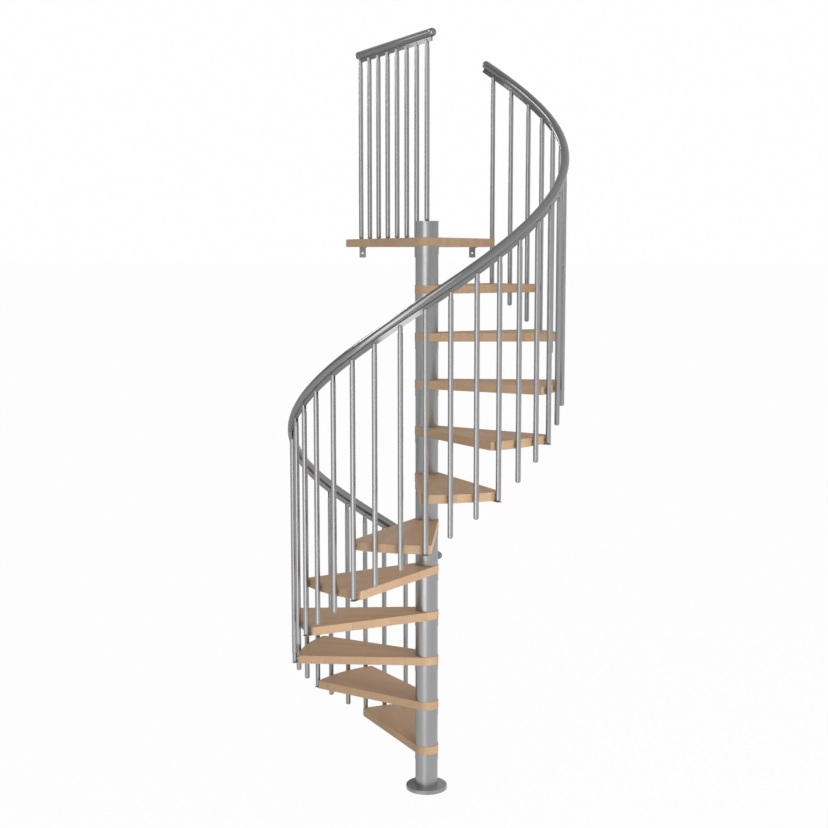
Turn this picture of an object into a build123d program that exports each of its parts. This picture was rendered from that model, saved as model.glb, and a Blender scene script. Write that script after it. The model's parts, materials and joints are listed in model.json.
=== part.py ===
from build123d import *
import os
from math import acos, cos, degrees, radians, sin

# A spiral stair: eleven wooden treads and a landing stacked on a steel column, with balusters that
# hang outside the treads and carry a helical handrail, and a straight guard along the landing.
# The column stands on the origin, +Z is up, and the stair climbs anticlockwise seen from above.

# Climb
rise = 235.0
tread_count = 11
turn = 29.86
start_angle = 90.3

# Column
flange_d = 210.0
flange_t = 20.0
flange_round = 4.0
post_d = 60.3
post_gap = 0.4
sleeve_d = 114.3
sleeve_wall = 3.6
collar_d = 118.0
collar_h = 40.0
column_above_landing = 74.0
cap_d = 118.0
cap_t = 6.0

# Treads
tread_t = 42.0
hub_d = 121.0
tread_sweep = 34.8
tread_corner_r = 7.0
arris_round = 2.0
tread_to_bar_gap = 6.5

# Balusters and their fixings
bar_circle_d = 1348.0
bar_d = 25.0
bar_length = 1128.0
bar_foot_round = 9.0
middle_bar_spread = 10.45
ferrule_d = 22.0
ferrule_h = 38.0
ferrule_round = 6.0
slot_depth = 36.0
slot_side_gap = 0.7
spacer_d = 16.0
saddle_gap = 0.2

# Plate under a tread's rear corner, on which the next tread's first baluster stands
plate_w = 26.0
plate_t = 3.0
plate_hold = 50.0
plate_past_bar = 0.5
plate_corner_r = 4.0
plate_hole_d = 5.5
plate_hole_inset = 14.0

# Handrail and the flat strip under it
rail_d = 42.0
rail_above_tip = 34.0
rail_flat = 0.6
strip_t = 8.0
strip_depth = 20.0
strip_low_setback = 20.0
strip_high_setback = 2.0
rail_before_first_bar = 69.0
rail_past_last_bar = 42.0

# Landing and its guard
guard_angle = 116.6
guard_step = 114.0
guard_bar_count = 8
guard_bar_length = 956.0
guard_rail_above_tip = 26.0
guard_rail_near = 53.0
guard_rail_far = 20.0
landing_past_guard = 78.0
landing_rear_angle = 8.5
landing_rear_length = 800.0
landing_front_arc = 6.0
wall_bracket_inset = 94.0
wall_bracket_count = 3
wall_bracket_w = 35.0
wall_bracket_t = 4.0
wall_bracket_drop = 57.0
wall_bracket_leg = 58.0
wall_bracket_hole_d = 10.0
wall_bracket_hole_drop = 33.0

# What follows from the sizes above
landing_z = rise * (tread_count + 1)
column_top = landing_z + column_above_landing
hub_r = hub_d / 2
half_sweep = tread_sweep / 2
corner_inset = (tread_sweep - turn) / 2
climb_per_degree = rise / turn
first_tip_z = bar_length - tread_t
last_bar_angle = start_angle + turn * tread_count
bar_circle_r = bar_circle_d / 2
tread_to_bar = tread_to_bar_gap + bar_d / 2
tread_r = bar_circle_r - tread_to_bar
rail_r = rail_d / 2
rail_seat = rail_r - rail_flat

# How a shape lies on its own origin
ABOVE = (Align.CENTER, Align.CENTER, Align.MIN)
BELOW = (Align.CENTER, Align.CENTER, Align.MAX)
INWARD_BELOW = (Align.CENTER, Align.MAX, Align.MAX)
OUTWARD = (Align.MIN, Align.CENTER)


def polar(radius, angle, z=0.0):
    return Vector(radius * cos(radians(angle)), radius * sin(radians(angle)), z)


def tip_z(angle):
    """Height of a baluster's tip at a direction around the column."""
    return first_tip_z + climb_per_degree * (angle - start_angle)


def rail_z(angle):
    return tip_z(angle) + rail_above_tip


def front_angle(number):
    """Direction of the baluster at the front corner of a tread, counted from 1."""
    return start_angle + turn * (number - 1)


def middle_angles(number):
    middle = front_angle(number) + turn / 2
    return [middle - middle_bar_spread / 2, middle + middle_bar_spread / 2]


def hub_tangent(point_radius, point_angle, side):
    """Where a line from an outer point touches the hub; side is +1 anticlockwise, -1 clockwise."""
    return polar(hub_r, point_angle + side * degrees(acos(hub_r / point_radius)))


def round_corners(outline, centres, radius):
    """Fillet the outline's corners that lie nearest to the given points."""
    corners = [outline.vertices().sort_by_distance(centre)[0] for centre in centres]
    return fillet(corners, radius)


def wooden_board(outline, top_z):
    """A board with eased arrises, cut out for the post; its top lies at the given height."""
    board = extrude(outline, tread_t)
    flat_faces = board.faces().filter_by(Axis.Z)
    board = fillet(flat_faces.edges(), arris_round)
    post_hole = Pos(0, 0, tread_t / 2) * Cylinder(post_d / 2 + post_gap, 2 * tread_t)
    return Pos(0, 0, top_z - tread_t) * (board - post_hole)


# Column: floor flange, inner post, sleeves between the treads and a cap

def base_flange():
    disc = Pos(0, 0, flange_t / 2) * Cylinder(flange_d / 2, flange_t)
    return fillet(disc.edges().sort_by(Axis.Z)[-1], flange_round)


def center_post():
    height = column_top - flange_t
    return Pos(0, 0, flange_t + height / 2) * Cylinder(post_d / 2, height)


def sleeve(z_low, z_high, collar):
    bore = sleeve_d / 2 - sleeve_wall
    corners = [(bore, z_low), (sleeve_d / 2, z_low)]
    if collar:
        step = z_high - collar_h
        corners += [(sleeve_d / 2, step), (collar_d / 2, step), (collar_d / 2, z_high)]
    else:
        corners += [(sleeve_d / 2, z_high)]
    corners += [(bore, z_high), (bore, z_low)]
    profile = make_face(Plane.XZ * Polyline(corners))
    return revolve(profile, Axis.Z)


def column_sleeves():
    lower_ends = [flange_t] + [rise * number for number in range(1, tread_count + 1)]
    sleeves = [sleeve(z, rise * (i + 1) - tread_t, True) for i, z in enumerate(lower_ends)]
    return sleeves + [sleeve(landing_z, column_top, False)]


def column_cap():
    disc = Pos(0, 0, column_top + cap_t / 2) * Cylinder(cap_d / 2, cap_t)
    return chamfer(disc.edges().sort_by(Axis.Z)[-1], cap_t / 4)


# Treads and landing

def tread(number):
    """A winder tread: straight sides tangent to its round hub, and an outer edge on an arc."""
    middle = front_angle(number) + turn / 2
    first, last = middle - half_sweep, middle + half_sweep
    front_corner, rear_corner = polar(tread_r, first), polar(tread_r, last)
    front_touch = hub_tangent(tread_r, first, -1)
    rear_touch = hub_tangent(tread_r, last, 1)
    sides = [
        Line(front_touch, front_corner),
        ThreePointArc(front_corner, polar(tread_r, middle), rear_corner),
        Line(rear_corner, rear_touch),
        ThreePointArc(rear_touch, polar(hub_r, middle + 180), front_touch),
    ]
    outline = round_corners(make_face(sides), [front_corner, rear_corner], tread_corner_r)
    return wooden_board(outline, rise * number)


def landing_corners():
    """Rear left and rear right corners of the landing."""
    touch = polar(hub_r, guard_angle + 90)
    left_length = guard_step * (guard_bar_count - 1) + landing_past_guard
    rear_left = touch + polar(left_length, guard_angle)
    return rear_left, rear_left + polar(landing_rear_length, landing_rear_angle)


def platform():
    """The landing: a tread's front corner, opened out to a straight rear edge at the upper floor."""
    first = last_bar_angle - corner_inset
    front_corner, arc_end = polar(tread_r, first), polar(tread_r, first + landing_front_arc)
    rear_left, rear_right = landing_corners()
    front_touch = hub_tangent(tread_r, first, -1)
    left_touch = polar(hub_r, guard_angle + 90)
    hub_front = (polar(1, guard_angle) + polar(1, first)).normalized() * -hub_r
    sides = [
        Line(front_touch, front_corner),
        ThreePointArc(front_corner, polar(tread_r, first + landing_front_arc / 2), arc_end),
        Line(arc_end, rear_right),
        Line(rear_right, rear_left),
        Line(rear_left, left_touch),
        ThreePointArc(left_touch, hub_front, front_touch),
    ]
    corners = [front_corner, rear_left, rear_right]
    return wooden_board(round_corners(make_face(sides), corners, tread_corner_r), landing_z)


# Balusters

def bar(foot, tip):
    """A baluster's tube with its domed foot, up to the ferrule."""
    height = tip.Z - ferrule_h - foot.Z
    tube = Cylinder(bar_d / 2, height, align=ABOVE)
    tube = fillet(tube.edges().sort_by(Axis.Z)[0], bar_foot_round)
    return Pos(foot) * tube


def stair_bar(angle):
    tip = polar(bar_circle_r, angle, tip_z(angle))
    foot = polar(bar_circle_r, angle, max(tip.Z - bar_length, 0.0))
    return bar(foot, tip)


def tread_bars(number):
    return [stair_bar(angle) for angle in [front_angle(number)] + middle_angles(number)]


def ferrule(tip, angle):
    """A domed ferrule whose deep slot straddles the strip; the angle is across the strip."""
    body = Cylinder(ferrule_d / 2, ferrule_h, align=BELOW)
    body = fillet(body.edges().sort_by(Axis.Z)[-1], ferrule_round)
    slot = Box(strip_t + 2 * slot_side_gap, 2 * ferrule_d, slot_depth, align=BELOW)
    return Pos(tip) * Rot(0, 0, angle) * (body - slot)


def stair_bar_angles():
    angles = []
    for number in range(1, tread_count + 1):
        angles += [front_angle(number)] + middle_angles(number)
    return angles + [last_bar_angle]


def baluster_ferrules():
    return [
        ferrule(polar(bar_circle_r, angle, tip_z(angle)), angle) for angle in stair_bar_angles()
    ]


def spacer(angle, tread_number):
    """A round distance piece from a tread's edge to the baluster, saddled to the tube."""
    z = rise * tread_number - tread_t / 2
    stud = Cylinder(spacer_d / 2, tread_to_bar, rotation=(0, 90, 0))
    saddle = Pos(tread_to_bar / 2, 0, 0) * Cylinder(bar_d / 2 + saddle_gap, 2 * spacer_d)
    return Rot(0, 0, angle) * Pos(tread_r + tread_to_bar / 2, 0, z) * (stud - saddle)


def baluster_spacers():
    pieces = []
    for number in range(1, tread_count + 1):
        for angle in [front_angle(number)] + middle_angles(number) + [front_angle(number + 1)]:
            pieces.append(spacer(angle, number))
    return pieces + [spacer(last_bar_angle, tread_count + 1)]


def corner_bracket(number):
    """A screwed plate under the tread's rear corner, reaching out under the baluster's foot."""
    length = plate_hold + tread_to_bar + bar_d / 2 + plate_past_bar
    outline = RectangleRounded(length, plate_w, plate_corner_r, align=OUTWARD)
    for x in (plate_hole_inset, plate_hold - plate_hole_inset):
        outline -= Pos(x, 0) * Circle(plate_hole_d / 2)
    plate = extrude(outline, -plate_t)
    under_tread = Pos(tread_r - plate_hold, 0, rise * number - tread_t)
    return Rot(0, 0, front_angle(number + 1)) * under_tread * plate


# Handrail

def rail_section(plane):
    return plane * (Circle(rail_r) - Pos(0, -rail_seat - rail_flat) * Rectangle(rail_r, 2 * rail_flat))


def strip_section(plane):
    return plane * Pos(0, -rail_seat - strip_depth / 2) * Rectangle(strip_t, strip_depth)


def stair_rail_path(low_margin, high_margin):
    """Helix of the handrail's centre; the margins are along the plan circle past the end bars."""
    low = start_angle - degrees(low_margin / bar_circle_r)
    high = last_bar_angle + degrees(high_margin / bar_circle_r)
    pitch = climb_per_degree * 360
    helix = Helix(pitch, climb_per_degree * (high - low), bar_circle_r)
    return Pos(0, 0, rail_z(low)) * Rot(0, 0, low) * helix


def section_plane(path, at):
    """A plane across the path with its own Y upwards."""
    across = Vector(0, 0, 1).cross(path % at)
    return Plane(origin=path @ at, x_dir=across, z_dir=path % at)


def handrail():
    path = stair_rail_path(rail_before_first_bar, rail_past_last_bar)
    return sweep(rail_section(section_plane(path, 0)), path=path, is_frenet=True)


def handrail_strip():
    low, high = rail_before_first_bar - strip_low_setback, rail_past_last_bar - strip_high_setback
    path = stair_rail_path(low, high)
    return sweep(strip_section(section_plane(path, 0)), path=path, is_frenet=True)


def guard_rail_path(near_margin, far_margin):
    z = landing_z + guard_bar_length + guard_rail_above_tip
    last = guard_step * (guard_bar_count - 1)
    return Line(polar(-near_margin, guard_angle, z), polar(last + far_margin, guard_angle, z))


def landing_rail():
    path = guard_rail_path(guard_rail_near, guard_rail_far)
    return sweep(rail_section(section_plane(path, 0)), path=path)


def landing_rail_strip():
    path = guard_rail_path(guard_rail_near - strip_high_setback, guard_rail_far / 2)
    return sweep(strip_section(section_plane(path, 0)), path=path)


def plug(path, at, outward):
    """A half ball that closes the end of a rail."""
    half_ball = Sphere(rail_r, arc_size1=0, align=ABOVE)
    return Plane(origin=path @ at, z_dir=(path % at) * outward) * half_ball


def rail_end_plugs():
    stair = stair_rail_path(rail_before_first_bar, rail_past_last_bar)
    guard = guard_rail_path(guard_rail_near, guard_rail_far)
    return [plug(path, at, outward) for path in (stair, guard) for at, outward in ((0, -1), (1, 1))]


# Landing guard and the angle brackets that tie the landing to the upper floor

def guard_tip(index):
    return polar(guard_step * index, guard_angle, landing_z + guard_bar_length)


def landing_balusters():
    bars = []
    for index in range(guard_bar_count):
        tip = guard_tip(index)
        foot_z = column_top + cap_t if index == 0 else landing_z
        bars.append(bar(Vector(tip.X, tip.Y, foot_z), tip))
    return bars


def landing_ferrules():
    return [ferrule(guard_tip(index), guard_angle - 90) for index in range(guard_bar_count)]


def platform_brackets():
    rear_left, _ = landing_corners()
    step = (landing_rear_length - 2 * wall_bracket_inset) / (wall_bracket_count - 1)
    brackets = []
    for index in range(wall_bracket_count):
        upright = Box(wall_bracket_w, wall_bracket_t, wall_bracket_drop, align=INWARD_BELOW)
        leg = Box(wall_bracket_w, wall_bracket_leg, wall_bracket_t, align=INWARD_BELOW)
        hole = Cylinder(wall_bracket_hole_d / 2, 4 * wall_bracket_t, rotation=(90, 0, 0))
        hole = Pos(0, 0, -wall_bracket_hole_drop) * hole
        place = rear_left + polar(wall_bracket_inset + index * step, landing_rear_angle)
        angle = Pos(place.X, place.Y, landing_z - tread_t) * Rot(0, 0, landing_rear_angle)
        brackets.append(angle * (upright + leg - hole))
    return brackets


def all_nodes():
    nodes = {
        "base_flange": base_flange(),
        "center_post": center_post(),
        "column_sleeves": column_sleeves(),
        "column_cap": column_cap(),
        "platform": platform(),
        "platform_corner_baluster": stair_bar(last_bar_angle),
        "baluster_ferrules": baluster_ferrules(),
        "baluster_spacers": baluster_spacers(),
        "tread_corner_brackets": [corner_bracket(n) for n in range(1, tread_count + 1)],
        "handrail": handrail(),
        "handrail_strip": handrail_strip(),
        "rail_end_plugs": rail_end_plugs(),
        "landing_balusters": landing_balusters(),
        "landing_ferrules": landing_ferrules(),
        "landing_rail": landing_rail(),
        "landing_rail_strip": landing_rail_strip(),
        "platform_brackets": platform_brackets(),
    }
    for number in range(1, tread_count + 1):
        nodes[f"tread_{number:02d}"] = tread(number)
        nodes[f"balusters_{number:02d}"] = tread_bars(number)
    return nodes


os.makedirs("parts", exist_ok=True)
for name, shape in all_nodes().items():
    body = Compound(children=shape) if isinstance(shape, list) else shape
    export_step(body, f"parts/{name}.step")
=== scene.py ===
"""Studio scene of a spiral staircase.

Beech treads and a landing ring a satin grey steel column. Slim balusters stand outside the treads
and carry a helical handrail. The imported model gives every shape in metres, with +Z up the column,
and this script gives each part its finish, adds the screws, sets the studio light and places the
camera.
"""

from __future__ import annotations

import json
import logging
import math
from dataclasses import dataclass
from enum import Enum
from typing import Union

import bpy
from mathutils import Euler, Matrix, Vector

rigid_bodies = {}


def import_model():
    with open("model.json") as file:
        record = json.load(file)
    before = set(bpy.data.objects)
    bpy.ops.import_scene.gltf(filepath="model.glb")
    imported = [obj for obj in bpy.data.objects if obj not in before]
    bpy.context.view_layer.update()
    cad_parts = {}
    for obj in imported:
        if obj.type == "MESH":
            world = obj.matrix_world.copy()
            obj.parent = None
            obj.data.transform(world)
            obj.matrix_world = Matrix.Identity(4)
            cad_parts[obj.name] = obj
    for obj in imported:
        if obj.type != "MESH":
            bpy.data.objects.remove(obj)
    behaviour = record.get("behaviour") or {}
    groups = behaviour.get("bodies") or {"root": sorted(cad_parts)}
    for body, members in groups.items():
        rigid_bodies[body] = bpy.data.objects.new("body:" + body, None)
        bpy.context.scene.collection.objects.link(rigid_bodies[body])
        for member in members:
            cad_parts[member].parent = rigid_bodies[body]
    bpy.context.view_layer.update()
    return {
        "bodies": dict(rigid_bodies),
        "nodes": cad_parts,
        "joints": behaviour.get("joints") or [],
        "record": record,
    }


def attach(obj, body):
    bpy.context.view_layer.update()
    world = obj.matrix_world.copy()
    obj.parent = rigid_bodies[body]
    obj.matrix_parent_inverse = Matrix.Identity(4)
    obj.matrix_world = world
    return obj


log = logging.getLogger("spiral_staircase")

Socket = bpy.types.NodeSocket
Inputs = bpy.types.NodeInputs
Outputs = bpy.types.NodeOutputs
Number = Union[float, Socket]
Span = tuple[Number, Number]
Triple = tuple[float, float, float]

UNIT: Span = (0.0, 1.0)

# The stair's own sizes, in metres and degrees, which the wood and the screws follow
RISE = 0.235
TREAD_COUNT = 11
TURN_DEG = 29.86
START_DEG = 90.3
GUARD_DEG = 116.6
BOARD_T = 0.042


class Slot(Enum):
    """Material slots of the record."""

    BEECH = "beech"
    STEEL = "satin_steel"
    RAIL = "handrail_grey"
    BRACKET = "bracket_steel"


class Channel(Enum):
    """Principled BSDF sockets that a finish drives or sets."""

    COLOR = "Base Color"
    ROUGHNESS = "Roughness"
    METALLIC = "Metallic"
    NORMAL = "Normal"
    SPECULAR = "Specular IOR Level"


class Graph:
    """A node tree with short ways to add and join its nodes."""

    # The Mix node has sockets of the same names for each data type; these are the colour ones
    mix_first, mix_second, mix_result = 6, 7, 2

    def __init__(self, tree: bpy.types.NodeTree) -> None:
        """Wraps a node tree."""
        self.tree = tree

    def node(self, kind: str, **values: object) -> bpy.types.Node:
        """Adds a node.

        Args:
            kind: Blender's name of the node type.
            **values: Properties to set on the node.

        Returns:
            The new node.
        """
        made = self.tree.nodes.new(kind)
        for name, value in values.items():
            setattr(made, name, value)
        return made

    def feed(self, socket: Socket, value: object) -> None:
        """Links a socket into an input, or sets the input's own value.

        Args:
            socket: The input.
            value: A socket to link, or a value to set.
        """
        if isinstance(value, bpy.types.NodeSocket):
            self.tree.links.new(value, socket)
        else:
            socket.default_value = value

    def math(self, operation: str, *values: Number) -> Socket:
        """Adds a Math node.

        Args:
            operation: The node's operation.
            *values: Its inputs, as sockets or numbers.

        Returns:
            The result's socket.
        """
        made = self.node("ShaderNodeMath", operation=operation)
        for socket, value in zip(made.inputs, values):
            self.feed(socket, value)
        return made.outputs[0]

    def combine(self, x: Number, y: Number, z: Number) -> Socket:
        """Joins three numbers into a vector.

        Args:
            x: The vector's first part.
            y: Its second part.
            z: Its third part.

        Returns:
            The vector's socket.
        """
        made = self.node("ShaderNodeCombineXYZ")
        for socket, value in zip(made.inputs, (x, y, z)):
            self.feed(socket, value)
        return made.outputs[0]

    def split(self, vector: Socket) -> tuple[Socket, Socket, Socket]:
        """Splits a vector.

        Args:
            vector: The vector's socket.

        Returns:
            The sockets of its three parts.
        """
        made = self.node("ShaderNodeSeparateXYZ")
        self.feed(made.inputs[0], vector)
        return made.outputs[0], made.outputs[1], made.outputs[2]

    def noise(self, vector: Socket, scale: float, detail: float, roughness: float = 0.5) -> Socket:
        """Adds a Noise Texture.

        Args:
            vector: Where the noise is read.
            scale: Its scale, in cycles per unit of the vector.
            detail: Its number of octaves.
            roughness: How much the finer octaves count.

        Returns:
            The socket of its value, from 0 to 1.
        """
        made = self.node("ShaderNodeTexNoise")
        self.feed(made.inputs["Vector"], vector)
        made.inputs["Scale"].default_value = scale
        made.inputs["Detail"].default_value = detail
        made.inputs["Roughness"].default_value = roughness
        return made.outputs[0]

    def spread(self, value: Socket, source: Span, target: Span) -> Socket:
        """Maps a value from one range to another, clamped and smooth at both ends.

        Args:
            value: The value to map.
            source: The range that it has.
            target: The range that it gets.

        Returns:
            The mapped value's socket.
        """
        made = self.node("ShaderNodeMapRange", interpolation_type="SMOOTHSTEP")
        for socket, number in zip(made.inputs, (value, *source, *target)):
            self.feed(socket, number)
        return made.outputs[0]

    def blend(self, factor: Number, first: object, second: object, how: str = "MIX") -> Socket:
        """Mixes two colours.

        Args:
            factor: How much of the second colour shows.
            first: A colour or its socket.
            second: A colour or its socket.
            how: The blend type.

        Returns:
            The mixed colour's socket.
        """
        made = self.node("ShaderNodeMix", data_type="RGBA", blend_type=how)
        self.feed(made.inputs[0], factor)
        self.feed(made.inputs[self.mix_first], first)
        self.feed(made.inputs[self.mix_second], second)
        return made.outputs[self.mix_result]

    def grey(self, value: Socket) -> Socket:
        """Turns a number into a grey colour, which multiplies other colours."""
        return self.combine(value, value, value)


@dataclass(frozen=True)
class GroupSocket:
    """One named input or output of a shader node group."""

    name: str
    kind: str = "NodeSocketFloat"
    default: object = None


class ShaderGroup:
    """A shader node group that is built once and placed in many materials."""

    name = ""
    inputs: tuple[GroupSocket, ...] = ()
    outputs: tuple[GroupSocket, ...] = ()

    @classmethod
    def tree(cls) -> bpy.types.NodeTree:
        """Gives the group's node tree, and builds it on the first call.

        Returns:
            The one tree that every material shares.
        """
        found = bpy.data.node_groups.get(cls.name)
        if found is not None:
            return found
        tree = bpy.data.node_groups.new(cls.name, "ShaderNodeTree")
        for side, sockets in (("INPUT", cls.inputs), ("OUTPUT", cls.outputs)):
            for item in sockets:
                made = tree.interface.new_socket(item.name, in_out=side, socket_type=item.kind)
                if item.default is not None:
                    made.default_value = item.default
        graph = Graph(tree)
        entry = graph.node("NodeGroupInput")
        leave = graph.node("NodeGroupOutput")
        cls.build(graph, entry.outputs, leave.inputs)
        return tree

    @classmethod
    def build(cls, graph: Graph, given: Outputs, result: Inputs) -> None:
        """Fills the group with its nodes; each group has its own.

        Args:
            graph: The group's node tree.
            given: The group's inputs, as the sockets that its nodes read.
            result: The group's outputs, as the sockets that its nodes feed.
        """
        raise NotImplementedError

    @classmethod
    def place(cls, graph: Graph, **values: object) -> Outputs:
        """Places the group in a material.

        Args:
            graph: The material's node tree.
            **values: The group's inputs by name, with underscores for spaces.

        Returns:
            The group node's outputs.
        """
        made = graph.node("ShaderNodeGroup")
        made.node_tree = cls.tree()
        for name, value in values.items():
            graph.feed(made.inputs[name.replace("_", " ")], value)
        return made.outputs


class BoardCoordinates(ShaderGroup):
    """Turns a point on the stair into its own tread's length, width and number."""

    name = "Board coordinates"
    inputs = (
        GroupSocket("Position", "NodeSocketVector"),
        GroupSocket("Normal", "NodeSocketVector"),
        GroupSocket("Rise"),
        GroupSocket("First Angle"),
        GroupSocket("Turn"),
    )
    outputs = (
        GroupSocket("Along"),
        GroupSocket("Across"),
        GroupSocket("Up"),
        GroupSocket("Number"),
        GroupSocket("End Face"),
    )

    # A tread's top lies at a whole number of rises, so the count lags a little to keep it
    storey_lag = 0.05
    half_tread = 0.5
    end_facing: Span = (0.72, 0.92)

    @classmethod
    def build(cls, graph: Graph, given: Outputs, result: Inputs) -> None:
        """Finds the tread from the height, then turns the point back by that tread's direction.

        Args:
            graph: The group's node tree.
            given: The group's inputs, as the sockets that its nodes read.
            result: The group's outputs, as the sockets that its nodes feed.
        """
        x, y, z = graph.split(given["Position"])
        storey = graph.math("DIVIDE", z, given["Rise"])
        number = graph.math("CEIL", graph.math("SUBTRACT", storey, cls.storey_lag))
        steps = graph.math("SUBTRACT", number, cls.half_tread)
        angle = graph.math("MULTIPLY_ADD", steps, given["Turn"], given["First Angle"])
        cosine, sine = graph.math("COSINE", angle), graph.math("SINE", angle)
        along = graph.math("MULTIPLY_ADD", x, cosine, graph.math("MULTIPLY", y, sine))
        turned_y, turned_x = graph.math("MULTIPLY", y, cosine), graph.math("MULTIPLY", x, sine)
        nx, ny, _ = graph.split(given["Normal"])
        facing = graph.math("MULTIPLY_ADD", nx, cosine, graph.math("MULTIPLY", ny, sine))
        end_face = graph.spread(graph.math("ABSOLUTE", facing), cls.end_facing, UNIT)
        graph.feed(result["Along"], along)
        graph.feed(result["Across"], graph.math("SUBTRACT", turned_y, turned_x))
        graph.feed(result["Up"], z)
        graph.feed(result["Number"], number)
        graph.feed(result["End Face"], end_face)


@dataclass(frozen=True)
class Grain:
    """A noise in the wood that is drawn out along the board."""

    squeeze: float
    scale: float
    detail: float
    roughness: float = 0.5

    def read(self, graph: Graph, along: Socket, across: Socket, up: Socket) -> Socket:
        """Reads the grain at a point of the board.

        Args:
            graph: The node tree that reads it.
            along: The point's place along the board.
            across: Its place across the board.
            up: Its height.

        Returns:
            The socket of the grain's value, from 0 to 1.
        """
        place = graph.combine(graph.math("MULTIPLY", along, self.squeeze), across, up)
        return graph.noise(place, self.scale, self.detail, self.roughness)


class StaveBoard(ShaderGroup):
    """Edge-glued staves with butt joints, fibres, ray flecks and end grain."""

    name = "Stave board"
    inputs = (
        GroupSocket("Along"),
        GroupSocket("Across"),
        GroupSocket("Up"),
        GroupSocket("Number"),
        GroupSocket("End Face"),
        GroupSocket("Stave Width"),
        GroupSocket("Stave Length"),
        GroupSocket("Pale", "NodeSocketColor"),
        GroupSocket("Deep", "NodeSocketColor"),
        GroupSocket("Fibre Strength"),
        GroupSocket("Fleck Strength"),
        GroupSocket("Joint Strength"),
    )
    outputs = (
        GroupSocket("Color", "NodeSocketColor"),
        GroupSocket("Roughness"),
        GroupSocket("Height"),
    )

    # Each grain's squeeze along the board, scale, octaves and roughness
    fibre = Grain(0.02, 420.0, 5.0, 0.62)
    figure = Grain(0.12, 34.0, 3.0)
    fleck = Grain(0.16, 1500.0, 1.0, 0.4)
    pore = Grain(1.0, 900.0, 2.0)
    ring = Grain(0.1, 60.0, 2.0)

    # How the staves differ from tread to tread and from row to row
    row_slip = 0.37
    row_seed = 3.7
    shift_along, shift_across = 9.0, 7.0
    figure_share = 0.9

    # What each grain adds to the tone, the roughness and the height
    tone_span: Span = (-0.2, 1.2)
    fibre_span: Span = (0.35, 0.72)
    fleck_span: Span = (0.6, 0.72)
    joint_span: Span = (0.00015, 0.0006)
    pore_dip, ring_dip = 0.08, 0.1
    rough_base, rough_fibre, rough_end = 0.44, 0.16, 0.1
    fibre_relief = 0.35

    @classmethod
    def build(cls, graph: Graph, given: Outputs, result: Inputs) -> None:
        """Cuts the board into staves, then gives each its own tone, fibres and flecks.

        Args:
            graph: The group's node tree.
            given: The group's inputs, as the sockets that its nodes read.
            result: The group's outputs, as the sockets that its nodes feed.
        """
        number, up, end_face = given["Number"], given["Up"], given["End Face"]
        row_count = graph.math("DIVIDE", given["Across"], given["Stave Width"])
        row_place = graph.math("MULTIPLY_ADD", number, cls.row_slip, row_count)
        row = graph.math("FLOOR", row_place)
        row_start = cls.random(graph, graph.combine(row, number, cls.row_seed))[0]
        run_count = graph.math("DIVIDE", given["Along"], given["Stave Length"])
        run_place = graph.math("ADD", run_count, row_start)
        piece = graph.math("FLOOR", run_place)
        tone, colour = cls.random(graph, graph.combine(row, piece, number))
        shift_x, shift_y, _ = graph.split(colour)
        along = graph.math("MULTIPLY_ADD", shift_x, cls.shift_along, given["Along"])
        across = graph.math("MULTIPLY_ADD", shift_y, cls.shift_across, given["Across"])
        fibre = cls.fibre.read(graph, along, across, up)

        joint = graph.math(
            "MAXIMUM",
            cls.joint(graph, row_place, given["Stave Width"]),
            cls.joint(graph, run_place, given["Stave Length"]),
        )
        joint_dip = graph.math("MULTIPLY", joint, given["Joint Strength"])
        fibre_mark = graph.spread(fibre, cls.fibre_span, UNIT)
        fibre_dip = graph.math("MULTIPLY", fibre_mark, given["Fibre Strength"])
        fleck_mark = graph.spread(cls.fleck.read(graph, along, across, up), cls.fleck_span, UNIT)
        fleck_dip = graph.math("MULTIPLY", fleck_mark, given["Fleck Strength"])
        side_grain = graph.math("ADD", fibre_dip, fleck_dip)
        side_dip = graph.math("MULTIPLY", side_grain, graph.math("SUBTRACT", 1.0, end_face))
        ring_dip = graph.math("MULTIPLY", cls.ring.read(graph, along, across, up), cls.ring_dip)
        pore = cls.pore.read(graph, along, across, up)
        end_grain = graph.math("MULTIPLY_ADD", pore, cls.pore_dip, ring_dip)
        end_dip = graph.math("MULTIPLY", end_grain, end_face)
        dips = graph.math("ADD", graph.math("ADD", side_dip, end_dip), joint_dip)

        figure = graph.math("SUBTRACT", cls.figure.read(graph, along, across, up), 0.5)
        drift = graph.math("MULTIPLY_ADD", figure, cls.figure_share, tone)
        wood = graph.blend(graph.spread(drift, cls.tone_span, UNIT), given["Pale"], given["Deep"])
        shade = graph.grey(graph.math("SUBTRACT", 1.0, dips))
        rough = graph.math("MULTIPLY_ADD", fibre, cls.rough_fibre, cls.rough_base)
        relief = graph.math("MULTIPLY", fibre, cls.fibre_relief)
        graph.feed(result["Color"], graph.blend(1.0, wood, shade, "MULTIPLY"))
        graph.feed(result["Roughness"], graph.math("MULTIPLY_ADD", end_face, cls.rough_end, rough))
        graph.feed(result["Height"], graph.math("SUBTRACT", relief, joint))

    @staticmethod
    def random(graph: Graph, seed: Socket) -> tuple[Socket, Socket]:
        """Draws at random for each whole-numbered seed.

        Args:
            graph: The group's node tree.
            seed: The seed's vector.

        Returns:
            The sockets of a value and a colour.
        """
        made = graph.node("ShaderNodeTexWhiteNoise", noise_dimensions="3D")
        graph.feed(made.inputs["Vector"], seed)
        return made.outputs["Value"], made.outputs["Color"]

    @classmethod
    def joint(cls, graph: Graph, place: Socket, pitch: Socket) -> Socket:
        """Marks the thin glue line at each whole number.

        Args:
            graph: The group's node tree.
            place: The place counted in staves.
            pitch: The size of one stave in metres.

        Returns:
            A mask that is 1 on the glue line.
        """
        inside = graph.math("PINGPONG", place, 0.5)
        metres = graph.math("MULTIPLY", inside, pitch)
        return graph.spread(metres, cls.joint_span, (1.0, 0.0))


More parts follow.
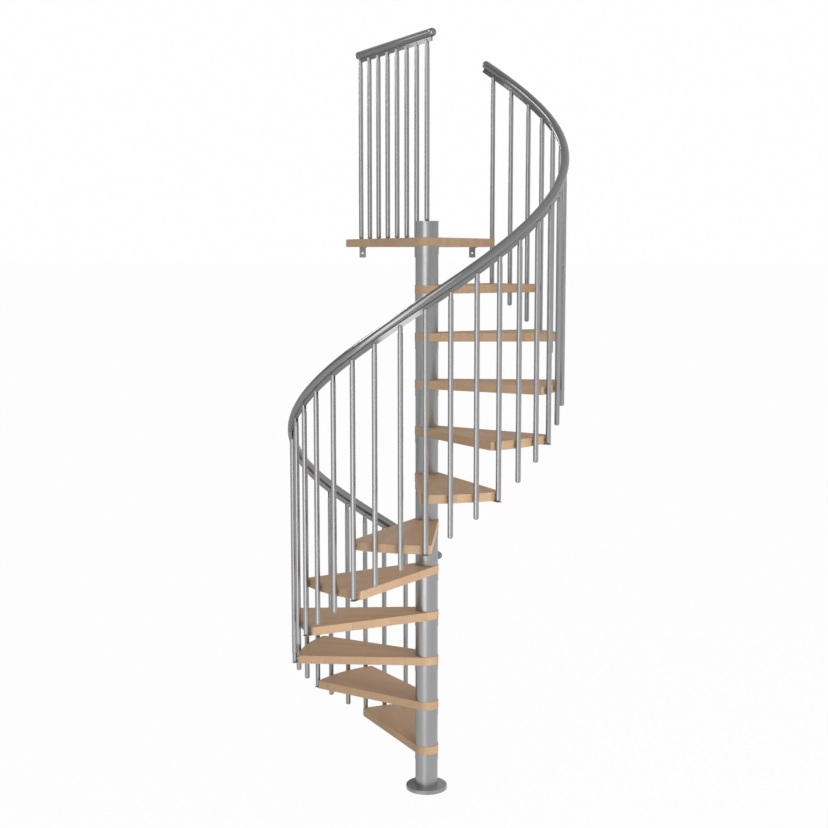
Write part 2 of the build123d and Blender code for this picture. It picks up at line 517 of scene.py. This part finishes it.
class PowderCoat(ShaderGroup):
    """Fine flake, soft clouding and orange peel of a sprayed and baked coat."""

    name = "Powder coat"
    inputs = (
        GroupSocket("Position", "NodeSocketVector"),
        GroupSocket("Color", "NodeSocketColor"),
        GroupSocket("Flake Strength"),
        GroupSocket("Cloud Strength"),
        GroupSocket("Roughness Low"),
        GroupSocket("Roughness High"),
    )
    outputs = (
        GroupSocket("Color", "NodeSocketColor"),
        GroupSocket("Roughness"),
        GroupSocket("Height"),
    )

    flake_scale, flake_detail = 2600.0, 1.0
    cloud_scale, cloud_detail, cloud_roughness = 7.0, 3.0, 0.55
    peel_scale, peel_detail = 420.0, 2.0
    cloud_span: Span = (0.3, 0.7)

    @classmethod
    def build(cls, graph: Graph, given: Outputs, result: Inputs) -> None:
        """Lays the flake and the clouds over the colour and the peel into the height.

        Args:
            graph: The group's node tree.
            given: The group's inputs, as the sockets that its nodes read.
            result: The group's outputs, as the sockets that its nodes feed.
        """
        place = given["Position"]
        flake = graph.noise(place, cls.flake_scale, cls.flake_detail)
        cloud = graph.noise(place, cls.cloud_scale, cls.cloud_detail, cls.cloud_roughness)
        peel = graph.noise(place, cls.peel_scale, cls.peel_detail)
        lift = graph.math("MULTIPLY", graph.math("SUBTRACT", flake, 0.5), given["Flake Strength"])
        drift = graph.math("MULTIPLY", graph.math("SUBTRACT", cloud, 0.5), given["Cloud Strength"])
        level = graph.grey(graph.math("ADD", graph.math("ADD", lift, drift), 1.0))
        rough_span = (given["Roughness Low"], given["Roughness High"])
        graph.feed(result["Color"], graph.blend(1.0, given["Color"], level, "MULTIPLY"))
        graph.feed(result["Roughness"], graph.spread(cloud, cls.cloud_span, rough_span))
        graph.feed(result["Height"], peel)


@dataclass(frozen=True)
class Finish:
    """A surface finish; each kind makes its own material."""

    name: str
    slot: Slot

    def material(self) -> bpy.types.Material:
        """Gives the finish's material, and builds it on the first call.

        Returns:
            The one material that every part in this finish shares.
        """
        found = bpy.data.materials.get(self.name)
        if found is not None:
            return found
        made = bpy.data.materials.new(self.name)
        made.use_nodes = True
        made.node_tree.nodes.clear()
        graph = Graph(made.node_tree)
        shader = graph.node("ShaderNodeBsdfPrincipled")
        output = graph.node("ShaderNodeOutputMaterial")
        graph.feed(output.inputs["Surface"], shader.outputs[0])
        self.dress(graph, shader.inputs)
        return made

    def dress(self, graph: Graph, sockets: Inputs) -> None:
        """Sets and feeds the shader's sockets; each kind of finish has its own.

        Args:
            graph: The material's node tree.
            sockets: The Principled BSDF's inputs.
        """
        raise NotImplementedError

    @staticmethod
    def bump(graph: Graph, height: Socket, strength: float, distance: float) -> Socket:
        """Turns a height into a normal.

        Args:
            graph: The material's node tree.
            height: The height's socket.
            strength: How much of the bump shows.
            distance: The height of a full step, in metres.

        Returns:
            The normal's socket.
        """
        made = graph.node("ShaderNodeBump")
        made.inputs["Strength"].default_value = strength
        made.inputs["Distance"].default_value = distance
        graph.feed(made.inputs["Height"], height)
        return made.outputs[0]


@dataclass(frozen=True)
class OiledBeech(Finish):
    """Stave-laminated beech under a matt oil, with staves along each board."""

    first_angle_deg: float = START_DEG
    turn_deg: float = TURN_DEG
    stave_width: float = 0.043
    stave_length: float = 0.31
    pale: Triple = (0.685, 0.465, 0.292)
    deep: Triple = (0.615, 0.412, 0.254)
    fibre: float = 0.08
    fleck: float = 0.1
    joint: float = 0.12
    specular: float = 0.2
    relief: float = 0.35
    relief_height: float = 0.0004

    def dress(self, graph: Graph, sockets: Inputs) -> None:
        """Feeds the board's own coordinates through the stave group into the shader.

        Args:
            graph: The material's node tree.
            sockets: The Principled BSDF's inputs.
        """
        geometry = graph.node("ShaderNodeNewGeometry")
        board = BoardCoordinates.place(
            graph,
            Position=geometry.outputs["Position"],
            Normal=geometry.outputs["True Normal"],
            Rise=RISE,
            First_Angle=math.radians(self.first_angle_deg),
            Turn=math.radians(self.turn_deg),
        )
        wood = StaveBoard.place(
            graph,
            Along=board["Along"],
            Across=board["Across"],
            Up=board["Up"],
            Number=board["Number"],
            End_Face=board["End Face"],
            Stave_Width=self.stave_width,
            Stave_Length=self.stave_length,
            Pale=(*self.pale, 1.0),
            Deep=(*self.deep, 1.0),
            Fibre_Strength=self.fibre,
            Fleck_Strength=self.fleck,
            Joint_Strength=self.joint,
        )
        graph.feed(sockets[Channel.COLOR.value], wood["Color"])
        graph.feed(sockets[Channel.ROUGHNESS.value], wood["Roughness"])
        normal = self.bump(graph, wood["Height"], self.relief, self.relief_height)
        graph.feed(sockets[Channel.NORMAL.value], normal)
        sockets[Channel.SPECULAR.value].default_value = self.specular


@dataclass(frozen=True)
class CoatedSteel(Finish):
    """Steel under a baked silver-grey coat."""

    color: Triple = (0.345, 0.345, 0.345)
    metallic: float = 0.85
    rough_low: float = 0.3
    rough_high: float = 0.38
    flake: float = 0.04
    cloud: float = 0.05
    peel: float = 0.008
    peel_height: float = 0.0002

    def dress(self, graph: Graph, sockets: Inputs) -> None:
        """Feeds the coat group into the shader.

        Args:
            graph: The material's node tree.
            sockets: The Principled BSDF's inputs.
        """
        geometry = graph.node("ShaderNodeNewGeometry")
        coat = PowderCoat.place(
            graph,
            Position=geometry.outputs["Position"],
            Color=(*self.color, 1.0),
            Flake_Strength=self.flake,
            Cloud_Strength=self.cloud,
            Roughness_Low=self.rough_low,
            Roughness_High=self.rough_high,
        )
        graph.feed(sockets[Channel.COLOR.value], coat["Color"])
        graph.feed(sockets[Channel.ROUGHNESS.value], coat["Roughness"])
        normal = self.bump(graph, coat["Height"], self.peel, self.peel_height)
        graph.feed(sockets[Channel.NORMAL.value], normal)
        sockets[Channel.METALLIC.value].default_value = self.metallic


TREAD_BEECH = OiledBeech("oiled_beech_treads", Slot.BEECH)
LANDING_BEECH = OiledBeech(
    "oiled_beech_landing", Slot.BEECH, first_angle_deg=GUARD_DEG, turn_deg=0.0
)
COLUMN_SILVER = CoatedSteel("silver_coat_column", Slot.STEEL)
FLANGE_SILVER = CoatedSteel(
    "silver_coat_flange", Slot.STEEL, color=(0.3, 0.3, 0.3), metallic=0.5
)
BAR_SILVER = CoatedSteel(
    "silver_coat_bars", Slot.STEEL, color=(0.33, 0.33, 0.33), rough_low=0.27, rough_high=0.33
)
RAIL_GREY = CoatedSteel(
    "grey_coat_rail", Slot.RAIL, color=(0.232, 0.232, 0.234), rough_low=0.13, rough_high=0.16
)
BRACKET_ZINC = CoatedSteel(
    "zinc_brackets", Slot.BRACKET, color=(0.34, 0.34, 0.335), rough_high=0.42, cloud=0.2
)


@dataclass
class Screws:
    """Pan-head screws that hold the plates under the wood; they ride on the still root."""

    name: str
    finish: Finish
    places: list[Vector]
    head_r: float = 0.0045
    head_h: float = 0.0022
    dome_turns: tuple[float, ...] = (0.0, 22.0, 45.0, 67.0)
    dome_fullness: float = 0.4
    recess_r: float = 0.0017
    recess_floor: float = 0.4
    segments: int = 24
    sharp_deg: float = 40.0

    def build(self) -> bpy.types.Object:
        """Adds every screw head as one object, heads down.

        Returns:
            The object of all the heads.
        """
        points: list[Vector] = []
        faces: list[tuple[int, ...]] = []
        for place in self.places:
            self.add_head(place, points, faces)
        mesh = bpy.data.meshes.new(self.name)
        mesh.from_pydata(points, [], faces)
        mesh.shade_smooth()
        mesh.set_sharp_from_angle(angle=math.radians(self.sharp_deg))
        mesh.materials.append(self.finish.material())
        heads = bpy.data.objects.new(self.name, mesh)
        bpy.context.scene.collection.objects.link(heads)
        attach(heads, "root")
        log.info("%s has %d heads", self.name, len(self.places))
        return heads

    def profile(self) -> list[tuple[float, float]]:
        """Gives the head's outline, from its rim to the floor of its round recess.

        Returns:
            The radius and the drop of each ring of points.
        """
        outline = []
        for turn in self.dome_turns:
            angle = math.radians(turn)
            radius = self.head_r * math.cos(angle) ** self.dome_fullness
            outline.append((radius, self.head_h * math.sin(angle)))
        outline.append((self.recess_r, self.head_h))
        outline.append((self.recess_r, self.head_h * self.recess_floor))
        return outline

    def add_head(
        self, place: Vector, points: list[Vector], faces: list[tuple[int, ...]]
    ) -> None:
        """Adds one head's rings of points and the faces between them.

        Args:
            place: The middle of the head's flat side.
            points: The mesh's points, which grow.
            faces: The mesh's faces, which grow.
        """
        rings = []
        for radius, drop in self.profile():
            rings.append(range(len(points), len(points) + self.segments))
            for step in range(self.segments):
                angle = 2 * math.pi * step / self.segments
                x, y = radius * math.cos(angle), radius * math.sin(angle)
                points.append(place + Vector((x, y, -drop)))
        for outer, inner in zip(rings, rings[1:]):
            for step in range(self.segments):
                after = (step + 1) % self.segments
                faces.append((outer[step], inner[step], inner[after], outer[after]))
        faces.append(tuple(rings[-1]))
        faces.append(tuple(reversed(rings[0])))


@dataclass
class SubAssembly:
    """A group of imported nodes, with the screws that hold them."""

    frame: dict

    def finishes(self) -> dict[str, Finish]:
        """Gives each node of the sub-assembly with its finish; each kind has its own."""
        raise NotImplementedError

    def dress(self) -> None:
        """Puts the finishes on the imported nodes, reports each one and adds the screws."""
        for name, finish in self.finishes().items():
            node = self.frame["nodes"][name]
            material = finish.material()
            for slot in node.material_slots:
                slot.material = material
            log.info("%s is dressed in %s", name, finish.name)
        for screws in self.screws():
            screws.build()

    def screws(self) -> list[Screws]:
        """Gives the sub-assembly's screws; most have none."""
        return []


@dataclass
class Column(SubAssembly):
    """Floor flange, inner post, sleeves and cap."""

    def finishes(self) -> dict[str, Finish]:
        """Gives the column's nodes, all in silver, with the flange a little duller."""
        names = ("center_post", "column_sleeves", "column_cap")
        return {"base_flange": FLANGE_SILVER, **{name: COLUMN_SILVER for name in names}}


@dataclass
class Flight(SubAssembly):
    """The treads with the balusters that each one carries, and their fixings."""

    tread_count: int = TREAD_COUNT
    plate_t: float = 0.003
    screw_radii: tuple[float, ...] = (0.619, 0.641)

    def finishes(self) -> dict[str, Finish]:
        """Gives the flight's nodes with their finishes.

        Returns:
            The treads in beech, the balusters in silver and the corner plates in zinc.
        """
        nodes: dict[str, Finish] = {}
        for number in range(1, self.tread_count + 1):
            nodes[f"tread_{number:02d}"] = TREAD_BEECH
            nodes[f"balusters_{number:02d}"] = BAR_SILVER
        nodes["baluster_ferrules"] = BAR_SILVER
        nodes["baluster_spacers"] = BAR_SILVER
        nodes["tread_corner_brackets"] = BRACKET_ZINC
        return nodes

    def screws(self) -> list[Screws]:
        """Gives the two screws under each corner plate.

        Returns:
            One group of screws for the whole flight.
        """
        places = []
        for number in range(1, self.tread_count + 1):
            angle = math.radians(START_DEG + TURN_DEG * number)
            z = RISE * number - BOARD_T - self.plate_t
            for radius in self.screw_radii:
                x, y = radius * math.cos(angle), radius * math.sin(angle)
                places.append(Vector((x, y, z)))
        return [Screws("corner_plate_screws", BRACKET_ZINC, places)]


@dataclass
class Handrail(SubAssembly):
    """The helical rail, its flat strip and the end plugs."""

    def finishes(self) -> dict[str, Finish]:
        """Gives the handrail's nodes, all in the darker grey."""
        return {name: RAIL_GREY for name in ("handrail", "handrail_strip", "rail_end_plugs")}


@dataclass
class Landing(SubAssembly):
    """The landing board, its brackets and its guard."""

    rear_left: tuple[float, float] = (-0.446333, 0.75619)
    rear_deg: float = 8.5
    bracket_runs: tuple[float, ...] = (0.094, 0.4, 0.706)
    screw_insets: tuple[float, ...] = (0.022, 0.044)
    leg_t: float = 0.004

    def finishes(self) -> dict[str, Finish]:
        """Gives the landing's nodes with their finishes.

        Returns:
            The board in beech, the brackets in zinc, the bars in silver and the rail in grey.
        """
        return {
            "platform": LANDING_BEECH,
            "platform_brackets": BRACKET_ZINC,
            "platform_corner_baluster": BAR_SILVER,
            "landing_balusters": BAR_SILVER,
            "landing_ferrules": BAR_SILVER,
            "landing_rail": RAIL_GREY,
            "landing_rail_strip": RAIL_GREY,
        }

    def screws(self) -> list[Screws]:
        """Gives the two screws through each wall bracket's level leg.

        Returns:
            One group of screws for all the brackets.
        """
        turn = math.radians(self.rear_deg)
        along = Vector((math.cos(turn), math.sin(turn), 0.0))
        inward = Vector((math.sin(turn), -math.cos(turn), 0.0))
        corner = Vector((*self.rear_left, RISE * (TREAD_COUNT + 1) - BOARD_T - self.leg_t))
        places = []
        for run in self.bracket_runs:
            places += [corner + run * along + inset * inward for inset in self.screw_insets]
        return [Screws("wall_bracket_screws", BRACKET_ZINC, places)]


@dataclass(frozen=True)
class Softbox:
    """A rectangular studio lamp that lights the surfaces, or shows in the gloss, or both."""

    name: str
    place: Triple
    aim: Triple
    width: float
    height: float
    power: float
    lights: bool = True
    glints: bool = True

    def build(self) -> bpy.types.Object:
        """Adds the lamp, turned towards its aim.

        Returns:
            The lamp's object.
        """
        data = bpy.data.lights.new(self.name, "AREA")
        data.shape = "RECTANGLE"
        data.size, data.size_y = self.width, self.height
        data.energy = self.power
        lamp = bpy.data.objects.new(self.name, data)
        lamp.location = self.place
        direction = Vector(self.aim) - Vector(self.place)
        lamp.rotation_euler = direction.to_track_quat("-Z", "Y").to_euler()
        lamp.visible_camera = False
        lamp.visible_diffuse = self.lights
        lamp.visible_glossy = self.glints
        bpy.context.scene.collection.objects.link(lamp)
        return lamp


@dataclass
class Studio:
    """White floor and backdrop, soft lamps and the camera."""

    backdrop_level: float = 0.995
    fill_level: float = 0.56
    floor_half: float = 600.0
    floor_drop: float = 0.0004
    floor_color: Triple = (0.82, 0.82, 0.82)
    floor_shadow: float = 0.03
    side_span: Span = (-0.9, 0.6)
    left_level: float = 0.45
    right_level: float = 0.9
    rise_span: Span = (0.02, 0.6)
    ceiling_level: float = 0.92
    # Painted reflection in the floor's glow for glossy rays: a bright band along the tall strip's
    # bearing
    strip_reflection_turn: float = -0.347
    strip_reflection_span: Span = (0.17, 0.34)
    strip_reflection_level: float = 0.55
    # Painted darker reflection in the floor's glow for glossy rays: dimmer towards the left
    floor_left_span: Span = (-2.6, -1.2)
    floor_left_level: float = 0.6
    lens_mm: float = 59.98
    sensor_mm: float = 36.0
    camera_place: Triple = (-0.0033, -6.8707, 2.7237)
    camera_tilt_deg: float = 83.509
    camera_roll_deg: float = 0.015
    camera_turn_deg: float = 0.506
    lamps: tuple[Softbox, ...] = (
        Softbox("low_key", (1.3, -3.4, 0.4), (0.0, -0.1, 0.3), 1.4, 1.2, 60.0, glints=False),
        Softbox("right_fill", (4.6, -3.4, 3.4), (0.0, 0.0, 2.4), 2.5, 2.5, 60.0, glints=False),
        Softbox(
            "tall_strip", (-1.03, -2.85, 3.02), (0.0, 0.0, 3.02), 1.7, 5.95, 55.0, lights=False
        ),
        Softbox("left_rim", (-3.4, 0.2, 4.81), (0.4, 0.3, 3.5), 1.8, 1.48, 41.0, lights=False),
        Softbox("high_rim", (-3.4, 1.6, 5.8), (0.6, 0.3, 3.4), 1.4, 1.0, 22.0, lights=False),
        Softbox("rear_rim", (-1.7, 3.8, 4.0), (-0.2, 0.4, 3.4), 1.1, 1.2, 20.0, lights=False),
        Softbox(
            "rear_glint", (-1.31, 0.98, 3.97), (-0.05, 0.0, 3.8), 0.18, 0.26, 0.32, lights=False
        ),
    )

    def build(self) -> None:
        """Builds the floor, the world, the lamps and the camera."""
        self.build_floor()
        self.build_world()
        for lamp in self.lamps:
            lamp.build()
        self.build_camera()
        log.info("studio is built with %d lamps", len(self.lamps))

    def background_rays(self, graph: Graph) -> Socket:
        """Masks the rays that show the floor's own white.

        Args:
            graph: The floor's node tree.

        Returns:
            A mask that is 1 for camera, glossy and transmission rays.
        """
        path = graph.node("ShaderNodeLightPath")
        seen = graph.math("MAXIMUM", path.outputs["Is Camera Ray"], path.outputs["Is Glossy Ray"])
        return graph.math("MAXIMUM", seen, path.outputs["Is Transmission Ray"])

    def floor_glow(self, graph: Graph) -> Socket:
        """Gives the floor's level: white, and for glossy rays a painted reflection, dimmer to the
        left with a bright painted band for the tall strip's image.

        Args:
            graph: The floor's node tree.

        Returns:
            The level's socket.
        """
        x, y, _ = graph.split(graph.node("ShaderNodeNewGeometry").outputs["Position"])
        bearing = graph.math("ARCTAN2", x, graph.math("MULTIPLY", y, -1.0))
        turn = graph.math("ABSOLUTE", graph.math("SUBTRACT", bearing, self.strip_reflection_turn))
        # Painted highlight band: for gloss the floor glows brighter along the tall strip's bearing,
        # as that lamp's reflection in a polished floor
        painted_strip_reflection = graph.spread(turn, self.strip_reflection_span, (self.strip_reflection_level, 0.0))
        # Painted shade for gloss: the floor's glow is dimmer on the left
        side = graph.spread(bearing, self.floor_left_span, (self.floor_left_level, 1.0))
        extra = graph.math("SUBTRACT", graph.math("ADD", side, painted_strip_reflection), 1.0)
        is_glossy = graph.node("ShaderNodeLightPath").outputs["Is Glossy Ray"]
        return graph.math("MULTIPLY_ADD", is_glossy, extra, 1.0)

    def build_floor(self) -> None:
        """Adds a pale floor that shows white and keeps a faint shadow."""
        half, z = self.floor_half, -self.floor_drop
        corners = [(-half, -half, z), (half, -half, z), (half, half, z), (-half, half, z)]
        mesh = bpy.data.meshes.new("studio_floor")
        mesh.from_pydata(corners, [], [(0, 1, 2, 3)])
        floor = bpy.data.objects.new("studio_floor", mesh)
        bpy.context.scene.collection.objects.link(floor)
        material = bpy.data.materials.new("white_floor")
        material.use_nodes = True
        material.node_tree.nodes.clear()
        graph = Graph(material.node_tree)
        paint = graph.node("ShaderNodeBsdfDiffuse")
        paint.inputs["Color"].default_value = (*self.floor_color, 1.0)
        glow = graph.node("ShaderNodeEmission")
        graph.feed(glow.inputs["Strength"], self.floor_glow(graph))
        mix = graph.node("ShaderNodeMixShader")
        share = graph.math("MULTIPLY", self.background_rays(graph), 1.0 - self.floor_shadow)
        graph.feed(mix.inputs[0], share)
        graph.feed(mix.inputs[1], paint.outputs[0])
        graph.feed(mix.inputs[2], glow.outputs[0])
        output = graph.node("ShaderNodeOutputMaterial")
        graph.feed(output.inputs["Surface"], mix.outputs[0])
        mesh.materials.append(material)

    def build_world(self) -> None:
        """Fills the world: white for the camera, a soft room for gloss and an even fill."""
        world = bpy.data.worlds.new("studio_room")
        world.use_nodes = True
        world.node_tree.nodes.clear()
        graph = Graph(world.node_tree)
        x, _, z = graph.split(graph.node("ShaderNodeTexCoord").outputs["Generated"])
        side = graph.spread(x, self.side_span, (self.left_level, self.right_level))
        rise = graph.spread(z, self.rise_span, (1.0, self.ceiling_level))
        path = graph.node("ShaderNodeLightPath")
        is_glossy = path.outputs["Is Glossy Ray"]
        glossy = graph.math("MULTIPLY", is_glossy, graph.math("MULTIPLY", side, rise))
        fill = graph.math("MULTIPLY_ADD", is_glossy, -self.fill_level, self.fill_level)
        camera = graph.math("MULTIPLY", path.outputs["Is Camera Ray"], self.backdrop_level)
        shown = graph.math("MAXIMUM", camera, path.outputs["Is Transmission Ray"])
        level = graph.math("MAXIMUM", shown, graph.math("MAXIMUM", glossy, fill))
        background = graph.node("ShaderNodeBackground")
        background.inputs["Color"].default_value = (1.0, 1.0, 1.0, 1.0)
        graph.feed(background.inputs["Strength"], level)
        output = graph.node("ShaderNodeOutputWorld")
        graph.feed(output.inputs["Surface"], background.outputs[0])
        bpy.context.scene.world = world

    def build_camera(self) -> None:
        """Adds the camera at the photograph's viewing angle."""
        data = bpy.data.cameras.new("front_camera")
        data.sensor_width = self.sensor_mm
        data.lens = self.lens_mm
        camera = bpy.data.objects.new("front_camera", data)
        camera.location = self.camera_place
        turns = (self.camera_tilt_deg, self.camera_roll_deg, self.camera_turn_deg)
        camera.rotation_euler = Euler([math.radians(turn) for turn in turns], "XYZ")
        bpy.context.scene.collection.objects.link(camera)
        bpy.context.scene.camera = camera


def main() -> None:
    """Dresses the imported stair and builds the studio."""
    logging.basicConfig(level=logging.INFO, format="%(message)s")
    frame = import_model()
    for assembly in (Column(frame), Flight(frame), Handrail(frame), Landing(frame)):
        assembly.dress()
    Studio().build()
    bpy.context.scene.view_settings.view_transform = "Standard"


if __name__ == "__main__":
    main()
